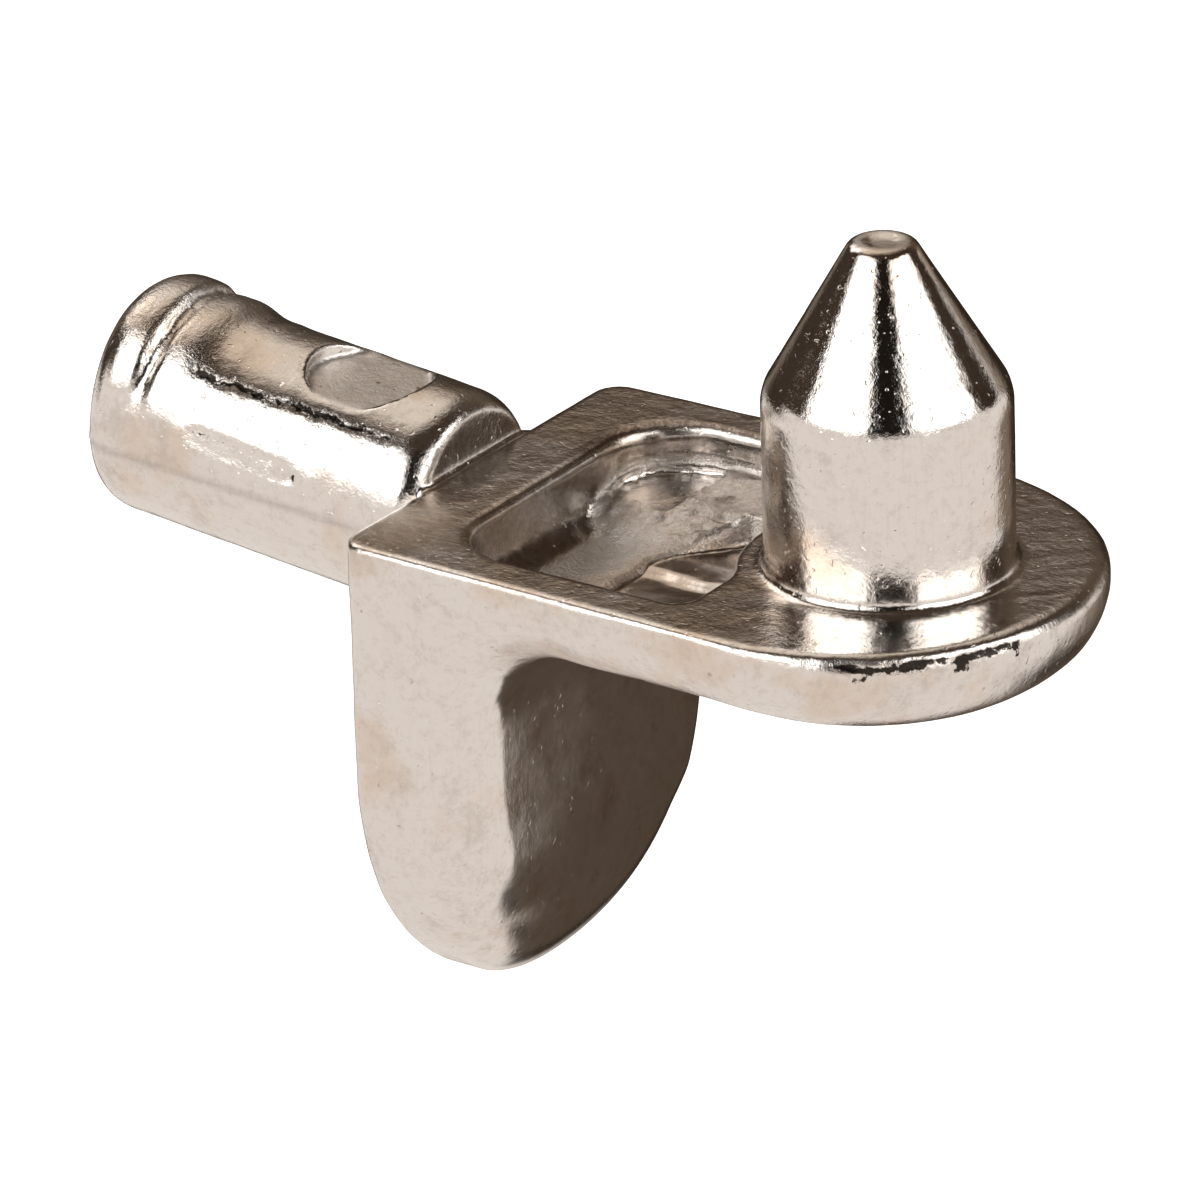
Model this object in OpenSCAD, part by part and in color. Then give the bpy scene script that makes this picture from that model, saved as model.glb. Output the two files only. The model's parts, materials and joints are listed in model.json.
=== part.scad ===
// Shelf support pin: one die-cast piece. A round plug goes into a hole in the
// cabinet side, a leg bears on the wall below it, and a platform with an
// upright pointed pin carries the shelf.
// Frame: X points out from the wall, Y runs along the wall, Z points up.
// The origin is on the plug's axis, in the plane of the wall.

/* [Plug] */
// Diameter of the plug's plain shaft
plug_d = 4.7; // [4.2:0.05:5.2]
// Length of the plug from the wall to its free end
plug_l = 8.5; // [7.4:0.1:12]
// Angle by which the plug rises towards its free end, in degrees
plug_rake = 5.5; // [0:0.5:8]
// Rounding of the free end's edge
plug_end_r = 0.85; // [0.3:0.05:1.1]
// Rounding of the shoulder where the plug meets the platform
plug_root_r = 0.95; // [0.4:0.05:1.1]
// How far the collar at the free end stands proud on the plug's upper side
end_collar_rise = 0.4; // [0.1:0.05:0.45]
// How far the second collar stands proud on the plug's upper side
second_collar_rise = 0.25; // [0.1:0.05:0.45]
// How much smaller the collars' radius is than the shaft's
collar_slim = 0.1; // [0.05:0.05:0.2]
// Length of the collar at the free end
end_collar_l = 1.4; // [1.3:0.1:2]
// Length of the second collar, which runs out into the shaft
second_collar_l = 1.5; // [1:0.1:2]
// Diameter of the ejector mark on the plug's upper side
ejector_d = 2.6; // [2.4:0.1:3]
// Depth of the ejector mark's flat floor below the plug's top
ejector_depth = 0.35; // [0.1:0.05:0.4]
// Distance of the ejector mark from the wall
ejector_x = 2.75; // [2.5:0.05:3.2]

/* [Platform] */
// Width of the platform at the wall
plat_w = 9.7; // [9:0.1:12]
// Length of the platform from the wall to its nose
plat_l = 14.25; // [13.8:0.05:16]
// Thickness of the platform
plat_t = 1.9; // [1.8:0.05:2.6]
// Height of the platform's top above the plug's axis at the wall
plat_z = 1.1; // [0.8:0.05:1.5]
// Angle by which each side of the platform flares towards the nose, in degrees
plat_flare = 0.9; // [0:0.1:2]
// How far the nose swells beyond the line of the sides
nose_swell = 0.02; // [0.01:0.01:0.1]
// Rounding of the outer edges below the platform and down the leg's front
edge_r = 1.6; // [0.4:0.05:1.65]
// Rounding of the platform's upper edge
plat_top_r = 0.15; // [0.05:0.05:0.3]

/* [Pocket] */
// Distance of the pocket from the wall
pocket_x = 1.85; // [1.4:0.05:2.6]
// Thickness of the wall beside the pocket
pocket_wall = 1; // [0.8:0.05:1.6]
// Distance of the pocket's far end from the wall
pocket_end_x = 7.65; // [7.2:0.05:8.2]
// Radius of the pocket's corners near the wall
pocket_r = 1.6; // [0.6:0.1:2.2]
// Radius of the pocket's corners beside the pin
pocket_end_r = 0.5; // [0.2:0.1:1]
// Depth of the pocket
pocket_depth = 1.35; // [1.05:0.05:1.4]
// Depth of the raised shelf in the pocket's corner
corner_depth = 0.8; // [0.4:0.05:0.95]
// Distance of the raised shelf from the wall
corner_x = 3.7; // [3.2:0.1:4.5]
// Distance of the raised shelf's edge from the middle of the platform
corner_y = 1.9; // [1.2:0.1:2.4]
// Width of the level ring around the upright pin
ring_w = 0.55; // [0.4:0.05:1]

/* [Leg] */
// Height of the whole leg, from the platform's top to its tip
leg_h = 10.85; // [9.5:0.1:14]
// Thickness of the leg
leg_t = 2.85; // [2.4:0.1:3.4]
// Radius of the leg's sides where they turn in towards the tip
leg_side_r = 5.9; // [5.2:0.1:8]
// Radius of the leg's tip
leg_tip_r = 4.3; // [3:0.1:4.7]
// Rounding of the edges at the wall
back_edge_r = 0.7; // [0.2:0.05:0.8]
// Height of the toe, where the leg's front curves back to the wall
toe_h = 4.2; // [2:0.1:5]
// How much thinner the toe is at the tip
toe_depth = 1.15; // [0.4:0.05:1.2]
// Radius of the fillet between the leg and the platform
web_r = 2.1; // [1:0.1:2.6]

/* [Upright pin] */
// Diameter of the upright pin
pin_d = 5; // [4:0.1:5.4]
// Distance of the upright pin's axis from the wall
pin_x = 10; // [9.6:0.05:10.4]
// Length of the pin's round part above the platform
pin_l = 3.72; // [2.5:0.05:6]
// Length of the pin's point
point_l = 3.13; // [2:0.05:4]
// Diameter of the flat tip of the point
tip_d = 1.3; // [0.8:0.05:2]
// Rounding of the shoulder between the pin's round part and its point
shoulder_r = 0.8; // [0.3:0.1:1.5]
// Fillet at the foot of the upright pin
foot_r = 0.25; // [0.1:0.05:0.35]
// Diameter of the small round mark in the tip
tip_mark_d = 0.7; // [0.3:0.05:0.75]
// Depth of the small round mark in the tip
tip_mark_depth = 0.08; // [0.04:0.01:0.15]

/* [Hidden] */
$fn = 96;
eps = 0.02;
// Where a line meets an arc it runs this far inside the arc's tangent, so that the two cross cleanly
touch = 0.004;
plug_r = plug_d / 2;
collar_r = plug_r - collar_slim;
// The root runs a little past the wall before the wall's plane cuts it
root_run = 0.1;
collar_gap_r = 0.25;
second_collar_top = 0.6;
half_w = plat_w / 2;
web_lap = 0.1;
under_z = plat_z - plat_t;
// The nose is an arc that nearly touches both flared sides and ends at the platform's length
nose_x = (plat_l - nose_swell - half_w * cos(plat_flare)) / (1 + sin(plat_flare));
nose_r = plat_l - nose_x;
pin_r = pin_d / 2;
tip_r = tip_d / 2;
ring_r = pin_r + ring_w;
// The cone's side leans in by this angle, and the shoulder's arc touches it and the round part
point_angle = atan((pin_r - tip_r) / point_l);
shoulder_z = pin_l - shoulder_r * tan(point_angle / 2);
tip_z = pin_l + point_l;
// Each side arc starts level on the leg's side; the tip arc lies between the two, touching both
leg_tip_z = plat_z - leg_h;
tip_c = leg_tip_z + leg_tip_r;
side_c = half_w - leg_side_r;
arc_gap = leg_side_r - leg_tip_r;
side_z = tip_c + sqrt(arc_gap * arc_gap - side_c * side_c);
side_angle = acos(-side_c / arc_gap);

module nickel() {
    color([0.74, 0.7, 0.66]) children();
}

// Half section of a bar, from its middle out to r and from y0 to y1, with both outer edges rounded
module bar_section(r, y0, y1, r0, r1) {
    translate([0, y0]) square([r - max(r0, r1), y1 - y0]);
    translate([0, y0 + r0]) square([r, y1 - y0 - r0 - r1]);
    intersection() {
        translate([r - r0, y0 + r0]) circle(r0);
        translate([0, y0]) square([r, r0 + eps]);
    }
    intersection() {
        translate([r - r1, y1 - r1]) circle(r1);
        translate([0, y1 - r1 - eps]) square([r, r1 + eps]);
    }
    if (r0 < r1) translate([0, y0]) square([r - r0, r0 + eps]);
    if (r1 < r0) translate([0, y1 - r1 - eps]) square([r - r1, r1 + eps]);
}

// Half section of a concave fillet of radius r, which fills the corner at the origin
module fillet_section(r) {
    difference() {
        translate([-eps, -eps]) square(r + eps);
        translate([r, r]) circle(r);
    }
}

// Places its children on the plug's axis: Z runs to the free end and X points up
module on_plug() {
    rotate([0, plug_rake - 90, 0]) children();
}

// Turns a half section about the plug's axis, with its seam on the underside
module turned() {
    rotate([0, 0, 180]) rotate_extrude() children();
}

module plug_shaft() {
    turned() bar_section(plug_r, -root_run, plug_l - eps, plug_root_r, plug_end_r);
}

// The collars are slimmer round bars set above the plug's axis, so that they fade out on its sides
module plug_collars() {
    gap_z = plug_l - end_collar_l;
    full_z = gap_z - second_collar_top;
    translate([end_collar_rise + collar_slim, 0, 0]) turned()
        bar_section(collar_r, gap_z, plug_l, collar_gap_r, plug_end_r);
    translate([second_collar_rise + collar_slim, 0, 0]) turned() {
        translate([0, full_z]) square([collar_r, second_collar_top - collar_gap_r]);
        translate([0, full_z]) square([collar_r - collar_gap_r, second_collar_top]);
        translate([collar_r - collar_gap_r, gap_z - collar_gap_r]) circle(collar_gap_r);
        polygon([
            [0, gap_z - second_collar_l],
            [collar_r - second_collar_rise, gap_z - second_collar_l],
            [collar_r, full_z],
            [0, full_z]
        ]);
    }
}

// The flat floor of the ejector mark cuts the shaft's round upper side
module ejector_mark() {
    translate([plug_r - ejector_depth, 0, ejector_x]) rotate([0, 90, 0]) cylinder(d = ejector_d, h = plug_r);
}

module plug() {
    difference() {
        on_plug() difference() {
            union() {
                plug_shaft();
                plug_collars();
            }
            ejector_mark();
        }
        translate([0, -plug_d, -plug_d]) cube(2 * plug_d);
    }
}

// The nose swells a little past the straight sides, which end inside it
module platform_blank() {
    side_r = half_w * cos(plat_flare);
    swell_angle = acos(1 - nose_swell / nose_r);
    sweep = 180 + 2 * plat_flare + 3 * swell_angle;
    for (side = [0, 1]) mirror([0, side, 0]) rotate([0, 0, plat_flare])
        rotate([90, 0, 90]) linear_extrude(nose_x) bar_section(side_r, under_z, plat_z, edge_r, plat_top_r);
    translate([nose_x, 0, 0]) rotate([0, 0, -sweep / 2])
        rotate_extrude(angle = sweep) bar_section(nose_r, under_z, plat_z, edge_r, plat_top_r);
    translate([0, -half_w / 2, under_z]) cube([nose_x, half_w, plat_t]);
}

// Rectangle from x0 to x1, centred across the platform, with corners of radius r0 and r1
module round_plan(x0, x1, width, r0, r1) {
    translate([x0 + r0, -width / 2]) square([x1 - x0 - r0 - r1, width]);
    for (end = [[x0 + r0, r0], [x1 - r1, r1]]) {
        translate([end[0] - end[1], end[1] - width / 2]) square([2 * end[1], width - 2 * end[1]]);
        for (side = [-1, 1]) {
            translate([end[0], side * (width / 2 - end[1])]) circle(end[1]);
        }
    }
}

// The pocket stops at the ring around the upright pin
module pocket_plan() {
    difference() {
        round_plan(pocket_x, pocket_end_x, plat_w - 2 * pocket_wall, pocket_r, pocket_end_r);
        translate([pin_x, 0]) circle(ring_r);
    }
}

module pocket() {
    translate([0, 0, plat_z - corner_depth]) linear_extrude(plat_t) pocket_plan();
    translate([0, 0, plat_z - pocket_depth]) linear_extrude(plat_t) difference() {
        pocket_plan();
        translate([corner_x, corner_y]) square(plat_l);
    }
}

// Rounds the upright corners at the wall, and cuts the flared sides off in the wall's plane
module wall_trim() {
    r = back_edge_r;
    trim_h = plat_t + 2 * eps;
    translate([-r, -plat_w, under_z - eps]) cube([r, 2 * plat_w, trim_h]);
    for (side = [0, 1]) mirror([0, side, 0]) translate([0, half_w, under_z - eps]) difference() {
        translate([-r, -r, 0]) cube([2 * r, 2 * r, trim_h]);
        translate([r, -r, -eps]) cylinder(r = r, h = trim_h + 2 * eps);
    }
}

// Section through half the leg: out from its middle to r, and from the wall to its front
module leg_section(r) {
    bar_section(r, 0, leg_t, back_edge_r, edge_r);
}

// Turns a section about an axis along X: the section's first axis sweeps down from the level
module leg_arc(centre_y, centre_z, r, start, sweep) {
    translate([0, centre_y, centre_z]) rotate([-start, 0, 0]) rotate([90, 0, 90])
        rotate([0, 0, -sweep]) rotate_extrude(angle = sweep) leg_section(r);
}

module leg() {
    intersection() {
        union() {
            translate([0, 0, side_z]) rotate([0, 0, 90]) mirror([0, 1, 0])
                linear_extrude(under_z + edge_r - side_z) for (side = [0, 1]) mirror([side, 0]) leg_section(half_w);
            for (side = [0, 1]) mirror([0, side, 0]) leg_arc(side_c, side_z, leg_side_r, 0, side_angle);
            leg_arc(0, tip_c, leg_tip_r, side_angle, 180 - 2 * side_angle);
        }
        toe_limit();
    }
}

// The leg's front is flat down to the toe, and then an arc that draws back by toe_depth
module toe_limit() {
    toe_r = (toe_h * toe_h + toe_depth * toe_depth) / (2 * toe_depth);
    toe_z = leg_tip_z + toe_h;
    translate([-eps, -plat_w, toe_z]) cube([leg_t + 2 * eps, 2 * plat_w, leg_h]);
    translate([leg_t - toe_r, plat_w, toe_z]) rotate([90, 0, 0]) cylinder(r = toe_r, h = 2 * plat_w, $fn = 256);
}

// The web fills the corner between leg and platform; its rounded edges run on from theirs
module web() {
    web_x = leg_t + web_r;
    web_z = under_z - web_r;
    difference() {
        translate([back_edge_r, -half_w, web_z]) cube([web_x - back_edge_r, plat_w, web_r + edge_r]);
        translate([web_x, plat_w, web_z]) rotate([90, 0, 0]) cylinder(r = web_r + edge_r, h = 2 * plat_w);
    }
    translate([web_x, 0, web_z]) rotate([-90, 0, 0]) rotate([0, 0, 180]) rotate_extrude(angle = 90)
        for (side = [0, 1]) mirror([0, side]) mirror([1, 0]) rotate(90)
            bar_section(half_w, web_r, web_r + edge_r + web_lap, edge_r, eps);
}

module upright_pin() {
    shoulder_x = pin_r - shoulder_r;
    arc_end = [cos(point_angle), sin(point_angle)];
    translate([pin_x, 0, plat_z]) difference() {
        rotate_extrude() {
            polygon([
                [0, -plat_t / 2],
                [pin_r, -plat_t / 2],
                [pin_r, shoulder_z],
                [shoulder_x, shoulder_z],
                [shoulder_x, shoulder_z] + (shoulder_r - touch) * arc_end,
                [tip_r, tip_z],
                [0, tip_z]
            ]);
            translate([shoulder_x, shoulder_z]) circle(shoulder_r);
            translate([pin_r, 0]) fillet_section(foot_r);
        }
        translate([0, 0, tip_z - tip_mark_depth]) cylinder(d = tip_mark_d, h = 2 * tip_mark_depth);
    }
}

module support_pin() {
    nickel() {
        plug();
        difference() {
            union() {
                difference() {
                    platform_blank();
                    wall_trim();
                }
                leg();
                web();
            }
            pocket();
        }
        upright_pin();
    }
}

support_pin();
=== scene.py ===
"""Look of the shelf support pin: a nickel-plated zinc die casting in a plain white studio."""

import json
import math
from types import SimpleNamespace

import bpy
import numpy as np
from mathutils import Matrix, Vector


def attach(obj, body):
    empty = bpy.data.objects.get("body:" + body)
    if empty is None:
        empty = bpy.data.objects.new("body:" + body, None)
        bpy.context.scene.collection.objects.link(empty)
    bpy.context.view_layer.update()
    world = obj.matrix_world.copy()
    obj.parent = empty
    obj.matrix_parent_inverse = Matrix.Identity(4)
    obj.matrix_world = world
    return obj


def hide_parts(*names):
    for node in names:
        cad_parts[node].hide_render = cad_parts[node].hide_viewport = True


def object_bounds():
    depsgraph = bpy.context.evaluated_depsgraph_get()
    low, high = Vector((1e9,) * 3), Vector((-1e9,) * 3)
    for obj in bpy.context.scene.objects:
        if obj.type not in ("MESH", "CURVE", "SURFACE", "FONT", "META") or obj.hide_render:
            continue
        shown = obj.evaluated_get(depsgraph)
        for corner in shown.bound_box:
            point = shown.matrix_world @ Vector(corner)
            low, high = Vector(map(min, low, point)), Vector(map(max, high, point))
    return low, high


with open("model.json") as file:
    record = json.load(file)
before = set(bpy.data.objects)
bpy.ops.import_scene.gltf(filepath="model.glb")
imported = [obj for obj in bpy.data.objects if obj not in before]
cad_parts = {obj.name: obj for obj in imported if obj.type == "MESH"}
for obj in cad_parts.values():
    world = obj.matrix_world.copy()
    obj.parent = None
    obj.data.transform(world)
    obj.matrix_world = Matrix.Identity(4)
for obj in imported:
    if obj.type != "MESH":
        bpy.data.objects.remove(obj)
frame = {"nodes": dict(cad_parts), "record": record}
cad_low, cad_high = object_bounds()
mounts = {mount["name"]: mount for mount in frame["record"]["mounts"]}

MM = 0.001


# ---------------------------------------------------------------- sizes
# Lengths in millimetres. The main ones are the CAD part's, and those that mate come from its mounts.

# the plug and its two collars, whose middles lie a little above the shaft's
PLUG_R = mounts["plug"]["dims"]["r_mm"]
PLUG_L = mounts["plug"]["dims"]["length_mm"]
RAKE = math.radians(5.5)
PLUG_END_ROUND = 0.85
PLUG_ROOT_ROUND = 0.95
COLLAR_R = 2.25
END_COLLAR_START = 7.12
END_COLLAR_LIFT = 0.5
SECOND_COLLAR_START = 5.2
SECOND_COLLAR_END = 7.0
SECOND_COLLAR_LIFT = 0.35
SECOND_COLLAR_RAMP = 0.25

# marks on the plug: places along it from the wall, and round it as an arc up from its near side
EJECTOR_ALONG = 2.75
EJECTOR_R = 1.3
EJECTOR_HEIGHT = 2.0
FLOW_ALONG = 4.4
FLOW_HALF = 1.1
FLOW_ARC = 0.66
FLOW_SLOPE = 0.06
PIT_ALONG = 3.05
PIT_ARC = 0.58
SEAM_ARC = -0.12
FOLD_ARC = 1.98

# the platform, the leg and the web between them
HALF_W = 4.85
FLARE = math.radians(0.9)
PLAT_L = 14.25
TOP_Z = mounts["shelf_seat"]["pos_m"][2] / MM
UNDER_Z = -0.8
LEG_T = 2.85
EDGE_R = 1.6
BACK_EDGE_R = 0.6
WEB_R = 2.1
NOSE_SAG = 0.13
LEG_TIP_Z = TOP_Z - 10.85
SIDE_R = 5.9
LEG_TIP_R = 4.3
TOE_H = 4.2
TOE_DEPTH = 1.15

# the upright pin with its point
PIN_X = mounts["upright_pin"]["pos_m"][0] / MM
PIN_R = mounts["upright_pin"]["dims"]["r_mm"]
TIP_R = 0.65
SHOULDER_Z = TOP_Z + 3.72
TIP_Z = SHOULDER_Z + 3.13
POINT_LEAN = 0.04
DIMPLE_R = 0.34

# the pocket in the platform, which stops short of a ring of metal round the pin
POCKET_START = 1.85
POCKET_END = 7.65
POCKET_HALF_W = 3.85
POCKET_WALL_CORNER = 1.6
POCKET_PIN_CORNER = 0.5
POCKET_DRAFT = 0.06
RING_R = PIN_R + 0.55
LEDGE_DEPTH = 1.62
MOUND_DEPTH = 0.85
FLOOR_DEPTH = 1.36

# the thin raised line on the nose's top: where it starts, and its way along the top
LINE_START = (12.7, -0.6)
LINE_WAY = (0.7, 0.714)
LINE_L = 1.5

# the middle that the chips round the nose are counted from
CHIPS_X = 9.4

# how finely the surface is cut, and how far a point may move onto it
VOXEL = 0.097
REACH = 0.35
SETTLE_ROUNDS = 5
SMOOTH_ROUNDS = 3
PROBE = 0.01


# ---------------------------------------------------------------- shape tools


def round_and(a, b, r):
    """Intersection of two distances, its outer edge rounded by r."""
    return np.minimum(-r, np.maximum(a, b)) + np.hypot(np.maximum(r + a, 0), np.maximum(r + b, 0))


def round_or(a, b, r):
    """Union of two distances, its inner corner filled by a fillet of r."""
    return np.maximum(r, np.minimum(a, b)) - np.hypot(np.maximum(r - a, 0), np.maximum(r - b, 0))


def step(x, low, high):
    """Smooth step from 0 at low to 1 at high."""
    t = np.clip((x - low) / (high - low), 0, 1)
    return t * t * (3 - 2 * t)


def ridge(x, width):
    """A smooth ridge of height 1 where x is 0."""
    return np.exp(-((x / width) ** 2))


def shift(value, aim, share):
    """Moves a value towards an aim by a share from 0 to 1."""
    return value + (aim - value) * share


def lattice(ix, iy, iz, seed):
    """One number from -1 to 1 for each point of a grid."""
    mask = 0xFFFFFFFF
    h = (ix * 374761393 + iy * 668265263 + iz * 1440662683 + seed * 974634777) & mask
    h = ((h ^ (h >> 13)) * 1274126177) & mask
    h = ((h ^ (h >> 15)) * 2246822519) & mask
    h ^= h >> 16
    return (h & 0xFFFFFF) / 8388607.5 - 1


def noise(p, size, seed):
    """Smooth noise from -1 to 1 with blobs of the given size in millimetres."""
    q = np.ascontiguousarray(p.T) / size + 0.37 * seed
    base = np.floor(q).astype(np.int64)
    t = q - base
    w = t * t * t * (t * (t * 6 - 15) + 10)
    total = 0
    for corner in np.ndindex(2, 2, 2):
        weight = 1
        for axis, far in enumerate(corner):
            weight = weight * (w[axis] if far else 1 - w[axis])
        ix, iy, iz = (base[axis] + far for axis, far in enumerate(corner))
        total = total + weight * lattice(ix, iy, iz, seed)
    return total


# ---------------------------------------------------------------- the plug


def plug_frame(p):
    """Distance along the plug from the wall, height above its mid-plane, and sideways."""
    along = -p[:, 0] * math.cos(RAKE) + p[:, 2] * math.sin(RAKE)
    height = p[:, 0] * math.sin(RAKE) + p[:, 2] * math.cos(RAKE)
    return along, height, p[:, 1]


def plug_arc(height, side):
    """Way round the plug from the middle of its near side, upwards."""
    return np.arctan2(height, -side) * PLUG_R


def seam_distance(along, arc):
    """Distance from the seam where the halves of the die met."""
    return arc - SEAM_ARC + 0.04 * (along - 4.5)


def seam_reach(along, side):
    """1 where the seam shows, on the near side."""
    return step(along, 1.0, 1.6) * (side < 0)


def fold_distance(p, arc):
    """Distance from the ragged fold that runs along the plug above its seam."""
    return arc - FOLD_ARC - 0.08 * noise(p, 0.5, 23) - 0.07 * noise(p, 0.22, 24)


def fold_reach(along, side):
    """1 where the fold shows, on the near side."""
    return step(along, 0.9, 1.3) * step(along, 6.4, 5.9) * (side < 0)


def flow_distance(along, arc):
    """Distance from the middle line of the shallow flow mark."""
    beyond = np.maximum(np.abs(along - FLOW_ALONG) - FLOW_HALF, 0)
    return np.hypot(beyond, arc - FLOW_ARC - FLOW_SLOPE * (along - FLOW_ALONG))


def pit_distance(along, arc):
    """Distance from the small pit at the flow mark's end."""
    return np.hypot(along - PIT_ALONG, arc - PIT_ARC)


def plug(p):
    """The raked plug: a shaft with a rounded root, two collars, and the marks of the die."""
    along, height, side = plug_frame(p)
    shaft = np.hypot(side, height) - PLUG_R
    shaft = round_and(shaft, along - PLUG_L + 0.02, PLUG_END_ROUND)
    shaft = round_and(shaft, -0.1 - along, PLUG_ROOT_ROUND)

    # the collars' edges wander a little, as if the metal had been squeezed
    wander = 0.07 * noise(p, 1.1, 21) + 0.04 * noise(p, 0.45, 22)
    end = np.hypot(side, height - END_COLLAR_LIFT) - COLLAR_R
    end = round_and(end, along - PLUG_L, PLUG_END_ROUND)
    end = round_and(end, END_COLLAR_START + wander - along, 0.3)
    ramp = SECOND_COLLAR_RAMP * (1 - step(along, 5.5, 6.45))
    second = np.hypot(side, height - SECOND_COLLAR_LIFT) - COLLAR_R + ramp
    second = round_and(second, along - SECOND_COLLAR_END - wander, 0.3)
    second = round_and(second, SECOND_COLLAR_START - along, 0.1)
    d = round_or(round_or(shaft, end, 0.08), second, 0.12)

    ejector = np.hypot(along - EJECTOR_ALONG, side) - EJECTOR_R
    d = round_and(d, -np.maximum(ejector, EJECTOR_HEIGHT - height), 0.07)

    # a shallow flow mark with a pit at one end, the seam, and a ragged fold higher up
    arc = plug_arc(height, side)
    d = d + 0.025 * step(flow_distance(along, arc) - 0.22, 0.08, -0.08)
    d = d + 0.06 * ridge(pit_distance(along, arc), 0.09)
    d = d - 0.014 * ridge(seam_distance(along, arc), 0.1) * seam_reach(along, side)
    d = d + 0.012 * ridge(fold_distance(p, arc), 0.08) * fold_reach(along, side)
    return round_and(d, p[:, 0], 0.08)


# ---------------------------------------------------------------- the bracket


def bracket(p):
    """Platform, web and leg: an L in side view, under the platform's plan and the leg's front view."""
    x, y, z = p[:, 0], np.abs(p[:, 1]), p[:, 2]

    # the plan: flared sides that run on into a round nose
    nose_x = (PLAT_L - 0.02 - HALF_W * math.cos(FLARE)) / (1 + math.sin(FLARE))
    nose_r = PLAT_L - nose_x
    side = (y - HALF_W - x * math.tan(FLARE)) * math.cos(FLARE)
    beyond = (x - nose_x) * math.cos(FLARE) + y * math.sin(FLARE) > 0
    plan = np.where(beyond, np.hypot(x - nose_x, y) - nose_r, side)

    # the leg's front view: side arcs that turn in to a tip arc
    tip_z = LEG_TIP_Z + LEG_TIP_R
    side_y = HALF_W - SIDE_R
    gap = SIDE_R - LEG_TIP_R
    side_z = tip_z + math.sqrt(gap * gap - side_y * side_y)
    turn = math.acos(-side_y / gap)
    level_y = y - x * math.tan(FLARE)
    down = np.arctan2(side_z - z, level_y - side_y)
    side_arc = np.hypot(level_y - side_y, z - side_z) - SIDE_R
    tip_arc = np.hypot(level_y, z - tip_z) - LEG_TIP_R
    front = np.where(z > side_z, side, np.where(down < turn, side_arc, tip_arc))

    outline = round_and(np.maximum(plan, front), -x, BACK_EDGE_R)
    sag = NOSE_SAG * step(x, 7, 13)
    inner = round_or(x - LEG_T, UNDER_Z - sag - z, WEB_R)
    body = round_and(outline, inner, EDGE_R)

    # the toe's front draws back to the wall in an arc
    toe_r = (TOE_H * TOE_H + TOE_DEPTH * TOE_DEPTH) / (2 * TOE_DEPTH)
    below = LEG_TIP_Z + TOE_H - z
    toe = np.hypot(x - LEG_T + toe_r, np.maximum(below, 0)) - toe_r
    body = np.where(below > -1, round_and(body, toe, 0.6 * step(below, 0.3, 2)), body)

    # the upper edge is keen along the sides and worn at the nose
    return round_and(body, z - TOP_Z, 0.15 + 0.2 * step(x, 8, 12))


# ---------------------------------------------------------------- the pocket


def pocket_lip(x, y):
    """Distance beyond the curved lip where the rough ledge ends and the smooth floor starts."""
    up = np.maximum(y, 0)
    return x - (4.2 + 0.25 * up + 0.15 * up * up)


def pocket_floor(p):
    """Depth of the pocket's floor below the platform's top."""
    x, y = p[:, 0], p[:, 1]
    lip = pocket_lip(x, y) + 0.05 * noise(p, 0.5, 14)
    edge = np.maximum(-lip, y - 2.05 - 0.05 * noise(p, 0.4, 15))

    # a rough ledge that climbs to a mound in the far corner
    ledge = LEDGE_DEPTH - 0.3 * step(x, 3.0, 4.2)
    ledge = shift(ledge, MOUND_DEPTH, step(y, 0.5, 2.3))

    # a smooth floor beyond its lip, with a sunk part on the near side
    smooth = FLOOR_DEPTH + 0.1 * step(y, 0.2, 1.8) - 0.12 * step(x, 5.5, 7.2)
    sunk = np.maximum(y + 0.25 + 0.04 * (x - 5) + 0.07 * noise(p, 0.5, 18), 4.0 - x)
    smooth = smooth + 0.12 * step(sunk, 0.12, -0.12)

    floor = shift(ledge, smooth, step(edge, 0.08, -0.12))
    sand = (0.05 * noise(p, 0.3, 16) + 0.04 * noise(p, 0.17, 17)) * step(edge, -0.05, 0.1)
    sand = sand * np.maximum(step(x, 2.6, 3.2), step(y, 0.6, 1.4))
    return floor + sand - 0.06 * ridge(edge - 0.08, 0.09)


def pocket(p):
    """The hollow of the pocket, wider towards its mouth."""
    x, y, z = p[:, 0], p[:, 1], p[:, 2]
    middle = (POCKET_START + POCKET_END) / 2
    half_l = (POCKET_END - POCKET_START) / 2
    corner = np.where(x < middle, POCKET_WALL_CORNER, POCKET_PIN_CORNER)
    qx = np.abs(x - middle) - half_l + corner
    qy = np.abs(y) - POCKET_HALF_W + corner
    outside = np.hypot(np.maximum(qx, 0), np.maximum(qy, 0))
    d = np.minimum(np.maximum(qx, qy), 0) + outside - corner
    d = round_and(d, RING_R - np.hypot(x - PIN_X, y), 0.2)
    depth = TOP_Z - z
    d = d + POCKET_DRAFT * depth

    # the wall beside the leg sweeps down to the floor in one wide curve
    sweep = 0.1 + 0.9 * step(x, 4.6, 2.4) * step(y, 2.0, 0.2)
    return round_and(d, depth - pocket_floor(p), sweep)


# ---------------------------------------------------------------- the upright pin


def pin(p):
    """The upright pin: a straight shank, a conical point and a dimple in its flat tip."""
    x = p[:, 0] - PIN_X
    y = p[:, 1]
    z = p[:, 2]
    # the point leans a little, as the two halves of the die did not quite meet
    lean = POINT_LEAN * step(z, SHOULDER_Z, TIP_Z)
    r = np.hypot(x + lean, y + 0.5 * lean)
    slant = math.atan((PIN_R - TIP_R) / (TIP_Z - SHOULDER_Z))
    cone = (r - TIP_R) * math.cos(slant) + (z - TIP_Z) * math.sin(slant)
    d = round_and(r - PIN_R, cone, 0.13)
    d = round_and(d, z - TIP_Z, 0.13)
    dimple = np.maximum(np.hypot(x + POINT_LEAN, y) - DIMPLE_R, TIP_Z - 0.07 - z)
    d = round_and(d, -dimple, 0.05)
    return np.maximum(d, -z - 0.2)


# ---------------------------------------------------------------- the cast skin


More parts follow.
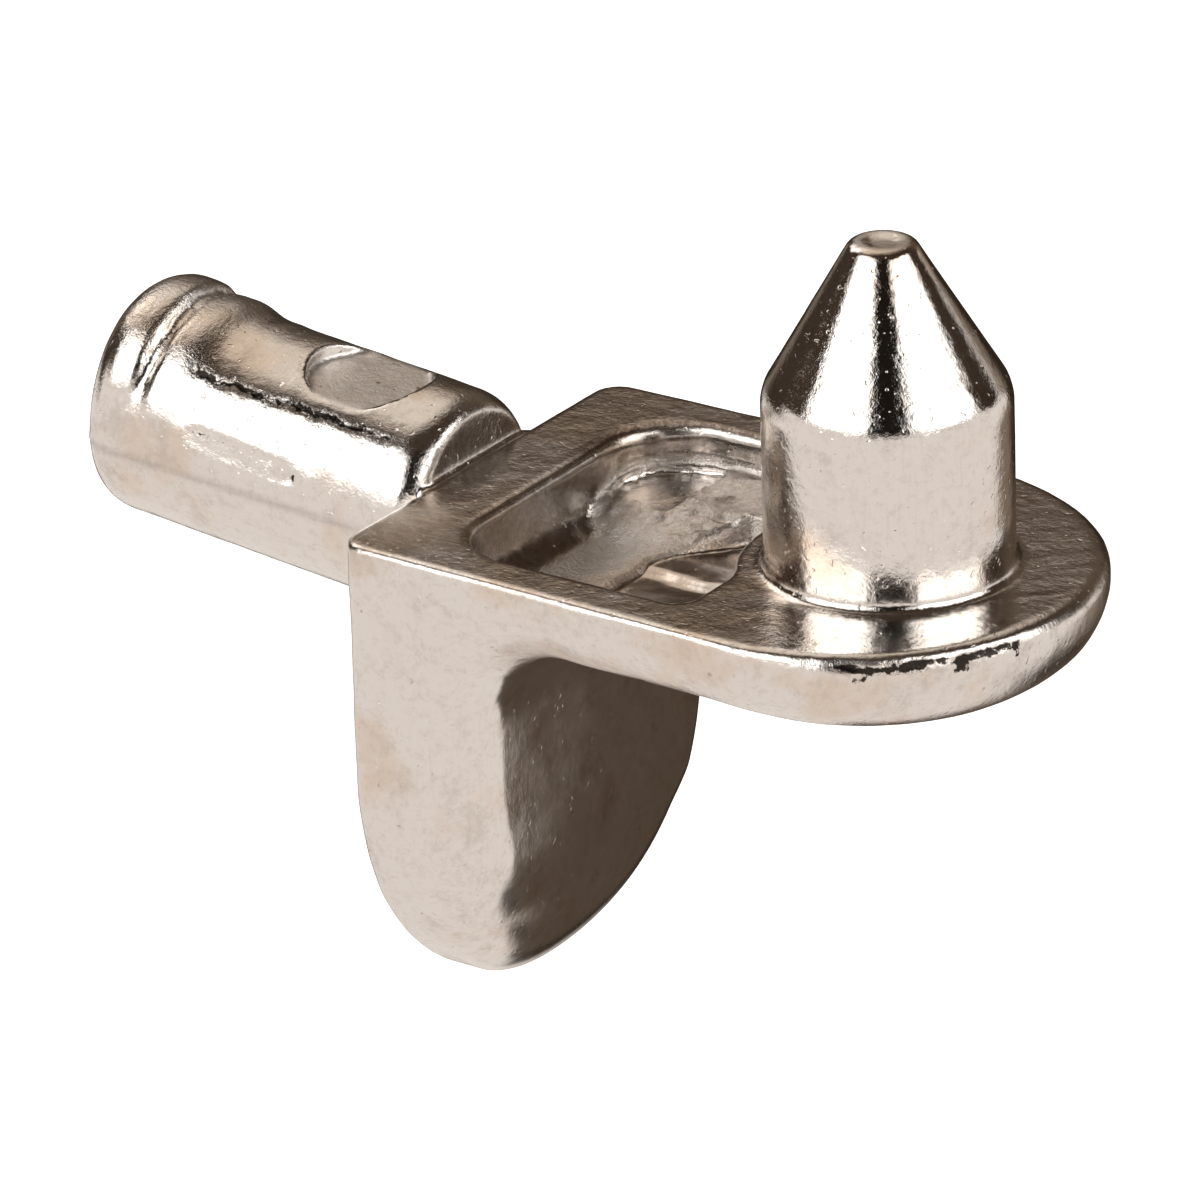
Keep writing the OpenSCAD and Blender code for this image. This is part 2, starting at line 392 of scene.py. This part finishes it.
def nose_chips(p):
    """Where the nose's upper edge is chipped, from 0 to 1."""
    x, y, z = p[:, 0], p[:, 1], p[:, 2]
    around = np.degrees(np.arctan2(y, x - CHIPS_X))
    region = step(around, -92, -80) * step(around, -12, -24) * (0.5 + 0.5 * step(around, -75, -60))
    wander = 0.06 * noise(p, 0.9, 31) + 0.05 * noise(p, 0.3, 34)
    band = ridge(z - TOP_Z + 0.24 + wander, 0.085) * (0.75 + 0.5 * noise(p, 0.5, 33))
    blobs = 0.8 * ridge(z - TOP_Z + 0.42, 0.12) * step(noise(p, 0.4, 32), 0.25, 0.5)
    return region * np.maximum(band, blobs * step(around, -70, -60))


def nose_line(p):
    """1 on the thin raised line that runs over the nose's top, away from the pin's foot."""
    x = p[:, 0] - LINE_START[0]
    y = p[:, 1] - LINE_START[1]
    along = x * LINE_WAY[0] + y * LINE_WAY[1]
    across = x * LINE_WAY[1] - y * LINE_WAY[0]
    line = ridge(across, 0.06) * step(along, -0.1, 0.1) * step(along, LINE_L + 0.1, LINE_L - 0.1)
    return line * step(p[:, 2], TOP_Z - 0.1, TOP_Z - 0.04)


def leg_front(p):
    """1 on the leg's front and the web, 0 elsewhere."""
    return step(p[:, 2], -0.9, -1.6) * step(p[:, 0], 1.2, 2.0)


def relief(p):
    """The unevenness of the cast skin: positive where metal is missing."""
    x, y, z = p[:, 0], p[:, 1], p[:, 2]
    skin = 0.010 * noise(p, 1.3, 1) + 0.006 * noise(p, 0.6, 2) + 0.004 * noise(p, 0.3, 3)
    skin = skin - 0.03 * nose_line(p)
    waves = 0.02 * noise(p, 3.4, 4)
    on_pin = step(np.hypot(x - PIN_X, y), PIN_R + 0.3, PIN_R + 0.05) * step(z, TOP_Z, TOP_Z + 0.4)
    on_top = step(z, TOP_Z - 0.08, TOP_Z - 0.02) * (1 - on_pin) * step(x, 0.1, 0.5)
    calm = np.maximum(0.7 * leg_front(p), np.maximum(0.7 * on_pin, 0.6 * on_top))
    return (skin + waves) * (1 - calm) + 0.05 * nose_chips(p)


def casting(p):
    """Signed distance from the cast surface at points p, in millimetres."""
    rim = 0.13 + 0.12 * step(p[:, 1], 1.5, 3) + 0.1 * step(p[:, 0], 3, 2)
    body = round_and(bracket(p), -pocket(p), rim)
    body = round_or(body, pin(p), 0.22)
    return round_or(body, plug(p), 0.1) + relief(p)


# ---------------------------------------------------------------- marks that the plating follows, and painted shade


def find_zones(p):
    """Which part of the casting each point is on, each share from 0 to 1."""
    x, y, z = p[:, 0], p[:, 1], p[:, 2]
    along, height, side = plug_frame(p)
    from_pin = np.hypot(x - PIN_X, y)
    hollow = pocket(p)
    zone = SimpleNamespace()
    zone.plug = step(x, 0.02, -0.1)
    zone.pin = step(from_pin, PIN_R + 0.25, PIN_R + 0.02) * step(z, TOP_Z, TOP_Z + 0.15)
    zone.top = step(z, TOP_Z - 0.1, TOP_Z - 0.03) * (1 - zone.pin) * (1 - zone.plug)
    zone.leg = leg_front(p)

    flat = step(z, TIP_Z - 0.03, TIP_Z - 0.005)
    dimple = step(from_pin, 0.36, 0.3) * step(z, TIP_Z - 0.2, TIP_Z)
    zone.tip = np.clip(flat + dimple, 0, 1)
    ejector = np.hypot(along - EJECTOR_ALONG, side) - EJECTOR_R
    zone.ejector = step(ejector, 0.04, -0.05) * step(height, 1.9, 1.97) * zone.plug

    zone.pocket = step(hollow, 0.1, -0.05) * step(z, TOP_Z - 0.1, TOP_Z - 0.2)
    zone.floor = step(TOP_Z - z - pocket_floor(p), -0.28, -0.1) * zone.pocket
    rough = zone.floor * np.maximum(step(pocket_lip(x, y), 0.12, -0.05), step(y, 1.9, 2.1))
    zone.rough_floor = rough * np.maximum(step(x, 2.1, 2.7), step(y, 0.6, 1.4))
    zone.mound = step(y, 0.8, 1.6)
    rim = step(hollow, 0.05, 0.12) * step(hollow, 0.4, 0.3)
    zone.rim = rim * step(z, TOP_Z - 0.1, TOP_Z - 0.05) * (1 - zone.pin)
    return zone


def satin_share(p, zone):
    """How dull the plate is: the pin is bright, the tip and the ejector mark are dullest."""
    _, height, side = plug_frame(p)
    angle = np.degrees(np.arctan2(height, -side))
    satin = 0.8 - 0.35 * zone.leg
    satin = shift(satin, 0.3, zone.plug)
    satin = shift(satin, 0.45 - 0.2 * step(p[:, 0], 6.5, 8), zone.top)
    satin = shift(satin, 0.3, zone.pocket)
    satin = shift(satin, 0, zone.pin)
    dull = 2 * np.maximum(zone.ejector, zone.tip)
    satin = np.maximum(satin, np.maximum(zone.rough_floor, dull))
    return satin + 0.6 * zone.plug * step(angle, 72, 88) * step(angle, 150, 120)


def grit_share(p, zone):
    """How sandy the skin is: on the pocket's ledge, the collars' tops and the plug's root."""
    along, height, side = plug_frame(p)
    angle = np.degrees(np.arctan2(height, -side))
    collars = zone.plug * step(along, 5.4, 6.2) * step(angle, 35, 60) * step(angle, 150, 120)
    root = zone.plug * step(along, 0.35, 0.1) * step(angle, 20, 60)
    floor = zone.rough_floor * (1.3 - 0.7 * zone.mound)
    return np.maximum(floor, np.maximum(0.25 * collars, 0.3 * root))


def crack_shade_share(p, zone):
    """Painted shade in the dark gaps: the ragged fold, the nose's chips, the flow mark's upper edge and
    the pit.
    """
    along, height, side = plug_frame(p)
    arc = plug_arc(height, side)
    near = side < 0
    fold = ridge(fold_distance(p, arc) - 0.02, 0.12) * (0.72 + 0.45 * noise(p, 0.6, 25))
    crack_shade = np.maximum(fold * zone.plug * fold_reach(along, side), nose_chips(p))
    upper = step(arc, 0.62, 0.8) * step(along, 3.9, 4.6)
    flow = 0.5 * ridge(flow_distance(along, arc) - 0.1, 0.06) * upper * zone.plug * near
    pit = ridge(pit_distance(along, arc), 0.1) * zone.plug
    return np.maximum(crack_shade, np.maximum(flow, pit))


def shade_and_seam_share(p, zone):
    """Painted shade on the pocket's rim, walls, floor and mound and at the plug's root, and a darker line
    along the seam.
    """
    along, height, side = plug_frame(p)
    arc = plug_arc(height, side)
    angle = np.degrees(arc / PLUG_R)
    seam = 0.3 * ridge(seam_distance(along, arc), 0.09) * zone.plug * seam_reach(along, side)
    # painted shade on the pocket's rim, walls, floor and mound, and at the plug's root
    rim = 0.8 * zone.rim * step(p[:, 1], 0.5, 1.5)
    walls = 0.72 * zone.pocket * (1 - zone.floor)
    smooth_floor = 0.2 * zone.floor * (1 - zone.rough_floor)
    mound = 0.65 * zone.mound * zone.rough_floor
    root = 0.35 * step(along, 0.45, 0.1) * step(angle, 20, 60) * zone.plug
    return np.maximum.reduce([seam, rim, walls, smooth_floor, mound, root])


def paint_marks(mesh, p):
    """Gives each vertex its share of satin finish, grit, level top, painted shade with the seam's darker
    line, uneven skin and painted shade in cracks.
    """
    zone = find_zones(p)
    marks = {
        "satin": satin_share(p, zone),
        "grit": grit_share(p, zone),
        "top": zone.top,
        "shade_and_seam": shade_and_seam_share(p, zone),
        "skin": 1 - 0.75 * np.maximum(zone.leg, zone.pocket * (1 - zone.rough_floor)),
        "crack_shade": crack_shade_share(p, zone),
    }
    for name, values in marks.items():
        layer = mesh.attributes.new(name, "FLOAT", "POINT")
        layer.data.foreach_set("value", np.clip(values, 0, 2).astype(np.float32))


# ---------------------------------------------------------------- the casting's mesh


def gradient(p):
    """The slope of the cast surface's distance along each axis."""
    slope = np.empty_like(p)
    for axis in range(3):
        move = np.zeros(3)
        move[axis] = PROBE
        slope[:, axis] = (casting(p + move) - casting(p - move)) / (2 * PROBE)
    return slope


def settle(p, start):
    """Moves points onto the cast surface, at most REACH away from where they started."""
    slope = gradient(p)
    size = np.maximum((slope * slope).sum(1), 0.25)
    away = p - (casting(p) / size)[:, None] * slope - start
    far = np.linalg.norm(away, axis=1)
    scale = np.minimum(1, REACH / np.maximum(far, 1e-9))
    return start + away * scale[:, None]


def even_mesh(source):
    """An even, closed mesh over the CAD node's shape, in millimetres."""
    mesh = source.data.copy()
    mesh.transform(Matrix.Scale(1 / MM, 4))
    shape = bpy.data.objects.new("cast_support", mesh)
    bpy.context.scene.collection.objects.link(shape)
    weld = shape.modifiers.new("weld", "WELD")
    weld.merge_threshold = 0.002
    remesh = shape.modifiers.new("remesh", "REMESH")
    remesh.mode = "VOXEL"
    remesh.voxel_size = VOXEL
    depsgraph = bpy.context.evaluated_depsgraph_get()
    fine = bpy.data.meshes.new_from_object(shape.evaluated_get(depsgraph))
    shape.modifiers.clear()
    shape.data = fine
    bpy.data.meshes.remove(mesh)
    return shape


def neighbour_mean(mesh):
    """Returns a function that gives each vertex the mean of its neighbours."""
    count = len(mesh.vertices)
    pairs = np.empty(len(mesh.edges) * 2, np.int64)
    mesh.edges.foreach_get("vertices", pairs)
    pairs = pairs.reshape(-1, 2)
    ends = np.concatenate([pairs[:, 0], pairs[:, 1]])
    others = np.concatenate([pairs[:, 1], pairs[:, 0]])
    degree = np.bincount(ends, minlength=count)[:, None]

    def mean(p):
        sums = [np.bincount(ends, p[others, axis], count) for axis in range(3)]
        return np.stack(sums, 1) / degree

    return mean


def build_casting():
    """The whole support, drawn onto the cast surface and kept inside the CAD part's box."""
    support = even_mesh(frame["nodes"]["support_pin"])
    mesh = support.data
    flat = np.empty(len(mesh.vertices) * 3)
    mesh.vertices.foreach_get("co", flat)
    p = flat.reshape(-1, 3)
    mean = neighbour_mean(mesh)

    start = p.copy()
    for turn in range(SETTLE_ROUNDS):
        p = settle(p, start)
        if turn < SMOOTH_ROUNDS:
            p = shift(p, mean(p), 0.5)
    p = np.clip(p, np.array(cad_low) / MM, np.array(cad_high) / MM)

    paint_marks(mesh, p)
    mesh.vertices.foreach_set("co", (p * MM).ravel())
    mesh.update()
    mesh.polygons.foreach_set("use_smooth", np.ones(len(mesh.polygons), bool))
    return support


# ---------------------------------------------------------------- node tools


class NodeBench:
    """Short calls that add nodes to one tree, all reading the same coordinates."""

    def __init__(self, tree, coordinates):
        self.nodes = tree.nodes
        self.links = tree.links
        self.where = self.nodes.new("ShaderNodeTexCoord").outputs[coordinates]

    def feed(self, socket, value):
        """Links another node's output to a socket, or sets the socket to a plain value."""
        if isinstance(value, bpy.types.NodeSocket):
            self.links.new(value, socket)
        else:
            socket.default_value = value

    def combine(self, operation, a, b):
        node = self.nodes.new("ShaderNodeMath")
        node.operation = operation
        self.feed(node.inputs[0], a)
        self.feed(node.inputs[1], b)
        return node.outputs["Value"]

    def plus(self, a, b):
        return self.combine("ADD", a, b)

    def times(self, a, b):
        return self.combine("MULTIPLY", a, b)

    def ramp(self, value, low, high, at_low=0, at_high=1):
        """A smooth step from at_low to at_high while the value goes from low to high."""
        node = self.nodes.new("ShaderNodeMapRange")
        node.interpolation_type = "SMOOTHSTEP"
        self.feed(node.inputs["Value"], value)
        self.feed(node.inputs["From Min"], low)
        self.feed(node.inputs["From Max"], high)
        self.feed(node.inputs["To Min"], at_low)
        self.feed(node.inputs["To Max"], at_high)
        return node.outputs["Result"]

    def blend(self, below, share, colour):
        """Lays a plain colour over a colour or another blend."""
        node = self.nodes.new("ShaderNodeMix")
        node.data_type = "RGBA"
        self.feed(node.inputs["Factor"], share)
        self.feed(node.inputs["A"], (*below, 1) if isinstance(below, tuple) else below)
        self.feed(node.inputs["B"], (*colour, 1))
        return node.outputs["Result"]

    def noise(self, scale, detail, rough):
        node = self.nodes.new("ShaderNodeTexNoise")
        self.feed(node.inputs["Scale"], scale)
        self.feed(node.inputs["Detail"], detail)
        self.feed(node.inputs["Roughness"], rough)
        self.feed(node.inputs["Vector"], self.where)
        return node.outputs["Fac"]

    def mark(self, name):
        """One of the marks that the casting's vertices carry."""
        node = self.nodes.new("ShaderNodeAttribute")
        node.attribute_name = name
        return node.outputs["Fac"]

    def scratches(self, turn, seed):
        """Fine lines that run one way, from noise stretched along them."""
        place = self.nodes.new("ShaderNodeMapping")
        self.feed(place.inputs["Rotation"], (0, 0, math.radians(turn)))
        self.feed(place.inputs["Scale"], (900, 16000, 900))
        self.feed(place.inputs["Location"], (seed, seed, 0))
        self.feed(place.inputs["Vector"], self.where)
        node = self.nodes.new("ShaderNodeTexNoise")
        self.feed(node.inputs["Scale"], 1)
        self.feed(node.inputs["Detail"], 1)
        self.feed(node.inputs["Vector"], place.outputs["Vector"])
        return self.ramp(node.outputs["Fac"], 0.62, 0.72)

    def dot(self, aim):
        """How far the looked-at direction points along aim."""
        node = self.nodes.new("ShaderNodeVectorMath")
        node.operation = "DOT_PRODUCT"
        self.feed(node.inputs[0], self.where)
        self.feed(node.inputs[1], aim)
        return node.outputs["Value"]


# ---------------------------------------------------------------- nickel plate

NICKEL = (0.82, 0.785, 0.75)
PEACH_CLOUD = (0.75, 0.63, 0.52)
MOTTLE = (0.60, 0.535, 0.475)
SCRATCH = (0.50, 0.44, 0.38)
GREY_CLOUD = (0.52, 0.455, 0.40)
BROWN_SPECK = (0.33, 0.25, 0.18)
# dark brown of the painted shade and of the seam's darker line
SHADE_AND_SEAM_DARK = (0.13, 0.082, 0.05)
# near black for the painted shade in the cracks, chips and pit
CRACK_SHADE_BLACK = (0.02, 0.014, 0.01)
RELIEF_HEIGHT = 0.02 * MM


def plate_colour(bench, marks, lines):
    """Warm nickel with peach and grey clouds, a mottle and specks, painted shade in the pocket and at the
    plug's root, a darker seam line, and black painted shade in the cracks.
    """
    colour = bench.blend(NICKEL, bench.ramp(bench.noise(330, 4, 0.6), 0.48, 0.64, 0, 0.75), PEACH_CLOUD)
    colour = bench.blend(colour, bench.ramp(bench.noise(4200, 6, 0.75), 0.46, 0.74, 0, 0.5), MOTTLE)
    colour = bench.blend(colour, bench.times(lines, 0.07), SCRATCH)
    colour = bench.blend(colour, bench.ramp(bench.noise(620, 6, 0.75), 0.52, 0.66, 0, 0.4), GREY_CLOUD)
    specks = bench.ramp(bench.noise(4300, 2, 0.5), 0.69, 0.76, 0, 0.6)
    colour = bench.blend(colour, bench.times(specks, marks["satin"]), BROWN_SPECK)
    patchy = bench.ramp(bench.noise(7000, 3, 0.7), 0.3, 0.6, 0.6, 1)
    # painted shade in the pocket and at the plug's root, and the seam's darker line
    colour = bench.blend(colour, bench.times(marks["shade_and_seam"], patchy), SHADE_AND_SEAM_DARK)

    # the painted shade in the cracks has its edges broken up by a fine noise
    rag = bench.times(bench.combine("SUBTRACT", bench.noise(6500, 4, 0.7), 0.5), 1.5)
    ragged = bench.ramp(bench.plus(marks["crack_shade"], rag), 0.44, 0.62, 0, 0.97)
    painted_crack_shade = bench.times(ragged, bench.ramp(marks["crack_shade"], 0.05, 0.2))
    return bench.blend(colour, painted_crack_shade, CRACK_SHADE_BLACK)


def plate_roughness(bench, marks):
    """Bright plate, duller where it is satin or gritty."""
    rough = bench.ramp(bench.noise(900, 4, 0.6), 0.35, 0.7, 0.06, 0.11)
    rough = bench.plus(rough, bench.times(marks["satin"], 0.17))
    return bench.plus(rough, bench.times(marks["grit"], 0.2))


def plate_relief(bench, marks, lines):
    """Orange peel, grain and pits under the plate, sand where it is gritty, lines on the top."""
    peel = bench.times(bench.noise(1900, 2, 0.5), 0.8)
    grain = bench.times(bench.noise(7000, 4, 0.7), bench.plus(bench.times(marks["satin"], 0.25), 0.4))
    pits = bench.times(bench.ramp(bench.noise(6200, 1, 0.5), 0.68, 0.76), -0.3)
    skin = bench.times(bench.plus(bench.plus(peel, grain), pits), marks["skin"])
    sand = bench.times(bench.times(bench.noise(11000, 3, 0.7), marks["grit"]), 3.2)
    grooves = bench.times(bench.times(lines, marks["top"]), -0.03)
    bump = bench.nodes.new("ShaderNodeBump")
    bench.feed(bump.inputs["Strength"], 1)
    bench.feed(bump.inputs["Distance"], RELIEF_HEIGHT)
    bench.feed(bump.inputs["Height"], bench.plus(skin, bench.plus(sand, grooves)))
    return bump.outputs["Normal"]


def nickel_plate():
    material = bpy.data.materials.new("nickel_plate")
    material.use_nodes = True
    bench = NodeBench(material.node_tree, "Object")
    marks = {name: bench.mark(name) for name in ("satin", "grit", "top", "shade_and_seam", "skin", "crack_shade")}
    lines = bench.scratches(75, 5.3)
    for turn, seed in ((-35, 8.7), (20, 3.1)):
        lines = bench.plus(bench.scratches(turn, seed), lines)
    shader = bench.nodes["Principled BSDF"]
    bench.feed(shader.inputs["Metallic"], 1)
    bench.feed(shader.inputs["Base Color"], plate_colour(bench, marks, lines))
    bench.feed(shader.inputs["Roughness"], plate_roughness(bench, marks))
    bench.feed(shader.inputs["Normal"], plate_relief(bench, marks, lines))
    return material


# ---------------------------------------------------------------- camera

CAMERA_AZIMUTH = 34.907
CAMERA_ELEVATION = 24.101
CAMERA_ROLL = -1.663
CAMERA_DISTANCE = 196 * MM
CAMERA_LENS = 291.49
CAMERA_SENSOR = 36
CAMERA_TARGET = Vector((3.283, -0.409, -1.114)) * MM


def direction(azimuth, elevation):
    """A direction seen from the part, its azimuth counted from the camera's side towards the nose."""
    a = math.radians(azimuth + CAMERA_AZIMUTH - 90)
    e = math.radians(elevation)
    return Vector((math.cos(a) * math.cos(e), math.sin(a) * math.cos(e), math.sin(e)))


def place_camera():
    back = direction(0, CAMERA_ELEVATION)
    level = direction(90, 0)
    upward = back.cross(level)
    roll = math.radians(CAMERA_ROLL)
    right = math.cos(roll) * level + math.sin(roll) * upward
    up = math.cos(roll) * upward - math.sin(roll) * level
    lens = bpy.data.cameras.new("camera")
    lens.sensor_width = CAMERA_SENSOR
    lens.lens = CAMERA_LENS
    lens.clip_start = 0.01
    lens.clip_end = 20
    camera = bpy.data.objects.new("camera", lens)
    bpy.context.scene.collection.objects.link(camera)
    turn = Matrix((right, up, back)).transposed().to_4x4()
    camera.matrix_world = Matrix.Translation(CAMERA_TARGET + back * CAMERA_DISTANCE) @ turn
    bpy.context.scene.camera = camera


# ---------------------------------------------------------------- studio

ROOM_BROWN = (0.052, 0.035, 0.024)
CEILING_PALE = (0.80, 0.70, 0.60)
WINDOW_LIGHT = (1.8, 1.7, 1.6)
BACK_BROWN = (0.11, 0.08, 0.056)
TABLE_WHITE = (0.85, 0.785, 0.735)
LEFT_SCREEN = (0.05, 0.036, 0.026)
RIGHT_SCREEN = (0.035, 0.026, 0.019)
# painted shadow of the part on the table behind it and below the horizon, as mirrored, and the paler
# places on it
BACK_PAINTED_SHADOW = (0.03, 0.021, 0.014)
LOW_PAINTED_SHADOW = (0.04, 0.029, 0.02)
PAINTED_SHADOW_GLOW = (0.22, 0.17, 0.13)
LEFT_GLOW = (0.20, 0.16, 0.125)
LEFT_LIGHT = (2.3, 2.25, 2.2)
RIGHT_LIGHT = (2.2, 2.15, 2.1)
GAP_BLACK = (0.012, 0.009, 0.007)

FLOOR_HALF = 2.0
FLOOR_DROP = 30 * MM
SHADE_BOARD_Y = 10 * MM

# the outline of the painted shade board, x and z in millimetres
SHADE_BOARD = ((1.5, -1), (1.5, -28), (4, -26), (8, -21.5), (11.8, -16.5), (13.4, -12), (13.4, -6), (11.5, -1))


def patch(bench, below, azimuth, elevation, inner, outer, colour):
    """Lays a soft round patch of light or dark over what is below it."""
    far = math.cos(math.radians(outer))
    near = math.cos(math.radians(inner))
    share = bench.ramp(bench.dot(direction(azimuth, elevation)), far, near)
    return bench.blend(below, share, colour)


def panel(bench, below, azimuth, elevation, wide, high, soft, colour):
    """Lays a rectangular panel of light or dark, its half width and half height in degrees."""
    aim = direction(azimuth, elevation)
    side = direction(azimuth + 90, 0)
    front = bench.dot(aim)
    share = bench.ramp(front, 0, 0.02)
    for axis, half in ((side, wide), (aim.cross(side), high)):
        across = bench.combine("ABSOLUTE", bench.dot(axis), 0)
        across = bench.combine("DIVIDE", across, bench.combine("MAXIMUM", front, 0.001))
        edge = math.tan(math.radians(half))
        share = bench.times(share, bench.ramp(across, edge + soft, edge - soft))
    return bench.blend(below, share, colour)


def light_room(scene):
    """The room that the plate mirrors and that lights it."""
    world = bpy.data.worlds.new("studio")
    scene.world = world
    world.use_nodes = True
    bench = NodeBench(world.node_tree, "Generated")

    # a dark brown room, paler high up behind the part
    look = patch(bench, ROOM_BROWN, -165, 57, 16, 36, CEILING_PALE)
    look = patch(bench, look, -140, 38, 10, 19, WINDOW_LIGHT)
    look = patch(bench, look, 150, 12, 16, 34, BACK_BROWN)

    # a white table all round, up to about ten degrees above the horizon
    below = bench.ramp(bench.dot(Vector((0, 0, 1))), 0.21, 0.16)
    look = bench.blend(look, below, TABLE_WHITE)

    # dark panels behind the part and at its right, with paler places on them; the back and low panels,
    # behind the part at its right and below the horizon, are painted shadow of the part on the table as
    # the plate mirrors it, with paler places of the same painted shadow
    look = panel(bench, look, -140, 8, 30, 17, 0.05, LEFT_SCREEN)
    look = patch(bench, look, -160, -2, 6, 18, LEFT_GLOW)
    look = panel(bench, look, 112, 9, 12, 5, 0.05, RIGHT_SCREEN)
    # painted shadow of the part on the table, as the plate mirrors it
    look = panel(bench, look, 168, -12, 32, 24, 0.05, BACK_PAINTED_SHADOW)
    look = panel(bench, look, 139, -38, 20, 17, 0.08, LOW_PAINTED_SHADOW)
    look = patch(bench, look, 133, -24, 6, 15, PAINTED_SHADOW_GLOW)
    look = patch(bench, look, 138, 5, 5, 12, PAINTED_SHADOW_GLOW)

    # a light panel on each side of the camera, with a dark gap between them
    look = panel(bench, look, -53, 34, 28.5, 21.5, 0.02, LEFT_LIGHT)
    look = panel(bench, look, 56, 31, 31, 17.5, 0.02, RIGHT_LIGHT)
    look = panel(bench, look, -1, 34, 17, 24, 0.03, GAP_BLACK)
    bench.feed(bench.nodes["Background"].inputs["Color"], look)


def paint(name, colour, glow, glow_strength, shine):
    """A dull paint that gives some light of its own."""
    material = bpy.data.materials.new(name)
    material.use_nodes = True
    shader = material.node_tree.nodes["Principled BSDF"]
    shader.inputs["Base Color"].default_value = (*colour, 1)
    shader.inputs["Roughness"].default_value = 1
    shader.inputs["Specular IOR Level"].default_value = shine
    shader.inputs["Emission Color"].default_value = (*glow, 1)
    shader.inputs["Emission Strength"].default_value = glow_strength
    return material


def flat_sheet(scene, name, corners, material):
    """One flat face with the given corners."""
    mesh = bpy.data.meshes.new(name)
    mesh.from_pydata(corners, [], [tuple(range(len(corners)))])
    mesh.materials.append(material)
    sheet = bpy.data.objects.new(name, mesh)
    scene.collection.objects.link(sheet)
    return sheet


def lay_floor(scene):
    """A white floor under the part, which it doesn't mirror."""
    z = LEG_TIP_Z * MM - FLOOR_DROP
    corners = [(x * FLOOR_HALF, y * FLOOR_HALF, z) for x, y in ((-1, -1), (1, -1), (1, 1), (-1, 1))]
    white = paint("floor", (0.95, 0.95, 0.95), (1, 1, 1), 0.7, 0)
    floor = flat_sheet(scene, "floor", corners, white)
    floor.visible_glossy = False


def hang_shade_board(scene):
    """A dark board beyond the part, which the camera never sees but which the leg's front mirrors:
    painted shade of the table lying in the part's shadow.
    """
    corners = [(x * MM, SHADE_BOARD_Y, z * MM) for x, z in SHADE_BOARD]
    # the board glows a dark brown, painted shade of the table in the part's shadow as the leg's front
    # mirrors it
    shade_brown = paint("shade_board", (0.01, 0.008, 0.006), (0.060, 0.040, 0.026), 1, 0.5)
    shade_board = flat_sheet(scene, "shade_board", corners, shade_brown)
    shade_board.visible_camera = False
    shade_board.visible_shadow = False
    shade_board.visible_diffuse = False


# ---------------------------------------------------------------- the scene

support = build_casting()
support.data.materials.clear()
support.data.materials.append(nickel_plate())
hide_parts("support_pin")
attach(support, "root")

place_camera()
studio = bpy.context.scene
studio.view_settings.view_transform = "Standard"
light_room(studio)
lay_floor(studio)
hang_shade_board(studio)
